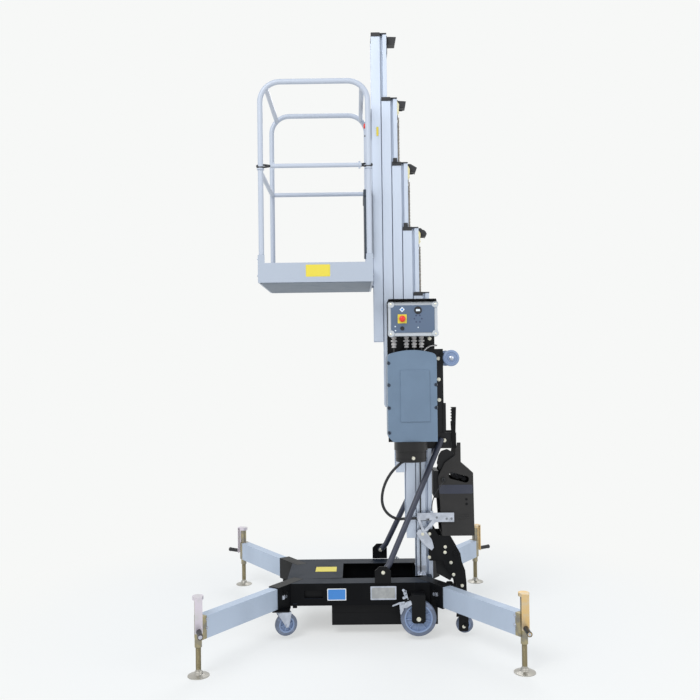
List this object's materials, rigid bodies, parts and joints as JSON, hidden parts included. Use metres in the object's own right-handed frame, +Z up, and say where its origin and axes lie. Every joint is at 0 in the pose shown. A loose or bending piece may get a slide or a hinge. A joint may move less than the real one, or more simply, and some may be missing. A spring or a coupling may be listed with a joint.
{
  "type": "vertical mast lift",
  "caption": "Push-around vertical mast lift: railed one-person platform on nested aluminium mast sections, wheeled base with outrigger jacks.",
  "frame": {"origin": "on the floor under the middle of the outer box of the machine on its jacks", "axes": "+Z up along the mast, +X from the platform towards the back of the mast, +Y away from the entry side"},
  "size_m": [1.9352, 1.8872, 3.675],
  "materials": {
    "chassis_paint": "satin",
    "aluminium": "satin",
    "rail_aluminium": "satin",
    "black_plastic": "matte",
    "zinc": "satin",
    "steel": "satin",
    "dark_steel": "satin",
    "rear_paint": "satin",
    "tyre": "matte",
    "cover_grey": "satin",
    "box_grey": "satin",
    "panel_blue": "satin",
    "hose_rubber": "matte"
  },
  "bodies": {
    "base": {"box_cable": "hose_rubber", "brace_lugs": "chassis_paint", "cable_glands": "black_plastic", "caster_plates": "steel", "chassis": "chassis_paint", "control_backplate": "dark_steel", "control_box": "box_grey", "control_panel": "panel_blue", "grip_lever": "dark_steel", "hydraulic_hose": "hose_rubber", "jack_cranks": "zinc", "jack_tubes": "zinc", "latch_bracket": "steel", "mast_braces": "dark_steel", "mast_cable": "hose_rubber", "mast_cap_5": "black_plastic", "mast_foot": "steel", "mast_section_5": "aluminium", "outrigger_arms": "aluminium", "outrigger_sockets": "chassis_paint", "panel_controls": "dark_steel", "power_cover": "cover_grey", "pump_motor": "dark_steel", "rear_box": "rear_paint", "rear_rails": "dark_steel", "tilt_frame": "dark_steel", "well_tray": "chassis_paint", "wheel_brackets": "chassis_paint"},
    "stage_2": {"mast_section_2": "aluminium", "mast_cap_2": "black_plastic", "lift_chain_2": "dark_steel"},
    "stage_3": {"mast_section_3": "aluminium", "mast_cap_3": "black_plastic", "lift_chain_3": "dark_steel"},
    "stage_4": {"mast_section_4": "aluminium", "mast_cap_4": "black_plastic", "lift_chain_4": "dark_steel"},
    "stage_1": {"mast_section_1": "aluminium", "mast_cap_1": "black_plastic", "document_holder": "black_plastic", "platform_carrier": "rail_aluminium", "platform_hoops": "rail_aluminium", "platform_station": "black_plastic", "platform_tray": "rail_aluminium"},
    "gate": {"gate_bar": "rail_aluminium"},
    "load_wheel_near": {"load_wheel_near": "tyre"},
    "caster_fork_near": {"caster_fork_near": "steel"},
    "caster_wheel_near": {"caster_wheel_near": "tyre"},
    "rear_wheel_near": {"rear_wheel_near": "tyre"},
    "loading_roller_near": {"loading_roller_near": "tyre"},
    "load_wheel_far": {"load_wheel_far": "tyre"},
    "caster_fork_far": {"caster_fork_far": "steel"},
    "caster_wheel_far": {"caster_wheel_far": "tyre"},
    "rear_wheel_far": {"rear_wheel_far": "tyre"},
    "loading_roller_far": {"loading_roller_far": "tyre"},
    "jack_leg_near_left": {"jack_leg_near_left": "zinc"},
    "jack_leg_near_right": {"jack_leg_near_right": "zinc"},
    "jack_leg_far_left": {"jack_leg_far_left": "zinc"},
    "jack_leg_far_right": {"jack_leg_far_right": "zinc"}
  },
  "joints": [
    {"name": "lift_4", "type": "slide", "parent": "base", "child": "stage_4", "axis": [0, 0, 1], "range_m": [-0.4, 0.945]},
    {"name": "lift_3", "type": "slide", "parent": "stage_4", "child": "stage_3", "axis": [0, 0, 1], "range_m": [-0.4, 0.945]},
    {"name": "lift_2", "type": "slide", "parent": "stage_3", "child": "stage_2", "axis": [0, 0, 1], "range_m": [-0.4, 0.945]},
    {"name": "lift_1", "type": "slide", "parent": "stage_2", "child": "stage_1", "axis": [0, 0, 1], "range_m": [-0.4, 0.945]},
    {"name": "gate_slide", "type": "slide", "parent": "stage_1", "child": "gate", "axis": [0, 0, 1], "range_m": [0, 0.35]},
    {"name": "load_wheel_near_spin", "type": "hinge", "parent": "base", "child": "load_wheel_near", "pos_m": [0.338, -0.3186, 0.129], "axis": [0, 1, 0], "continuous": true},
    {"name": "caster_near_swivel", "type": "hinge", "parent": "base", "child": "caster_fork_near", "pos_m": [-0.462, -0.3036, 0.091], "axis": [0, 0, 1], "continuous": true},
    {"name": "caster_wheel_near_spin", "type": "hinge", "parent": "caster_fork_near", "child": "caster_wheel_near", "pos_m": [-0.43789, -0.29386, 0.091], "axis": [-0.3746, 0.9272, 0], "continuous": true},
    {"name": "rear_wheel_near_spin", "type": "hinge", "parent": "base", "child": "rear_wheel_near", "pos_m": [0.613, -0.2736, 0.075], "axis": [0, 1, 0], "continuous": true},
    {"name": "loading_roller_near_spin", "type": "hinge", "parent": "base", "child": "loading_roller_near", "pos_m": [0.573, -0.1236, 1.642], "axis": [0, 1, 0], "continuous": true},
    {"name": "load_wheel_far_spin", "type": "hinge", "parent": "base", "child": "load_wheel_far", "pos_m": [0.338, 0.3714, 0.129], "axis": [0, 1, 0], "continuous": true},
    {"name": "caster_far_swivel", "type": "hinge", "parent": "base", "child": "caster_fork_far", "pos_m": [-0.462, 0.3564, 0.091], "axis": [0, 0, 1], "continuous": true},
    {"name": "caster_wheel_far_spin", "type": "hinge", "parent": "caster_fork_far", "child": "caster_wheel_far", "pos_m": [-0.43789, 0.36614, 0.091], "axis": [-0.3746, 0.9272, 0], "continuous": true},
    {"name": "rear_wheel_far_spin", "type": "hinge", "parent": "base", "child": "rear_wheel_far", "pos_m": [0.613, 0.3264, 0.075], "axis": [0, 1, 0], "continuous": true},
    {"name": "loading_roller_far_spin", "type": "hinge", "parent": "base", "child": "loading_roller_far", "pos_m": [0.573, 0.1764, 1.642], "axis": [0, 1, 0], "continuous": true},
    {"name": "jack_near_left_travel", "type": "slide", "parent": "base", "child": "jack_leg_near_left", "axis": [0, 0, 1], "range_m": [-0.1, 0.09]},
    {"name": "jack_near_right_travel", "type": "slide", "parent": "base", "child": "jack_leg_near_right", "axis": [0, 0, 1], "range_m": [-0.1, 0.09]},
    {"name": "jack_far_left_travel", "type": "slide", "parent": "base", "child": "jack_leg_far_left", "axis": [0, 0, 1], "range_m": [-0.1, 0.09]},
    {"name": "jack_far_right_travel", "type": "slide", "parent": "base", "child": "jack_leg_far_right", "axis": [0, 0, 1], "range_m": [-0.1, 0.09]}
  ],
  "couplings": [
    {"joint": "lift_3", "follows": "lift_4", "ratio": 1},
    {"joint": "lift_2", "follows": "lift_4", "ratio": 1},
    {"joint": "lift_1", "follows": "lift_4", "ratio": 1}
  ]
}
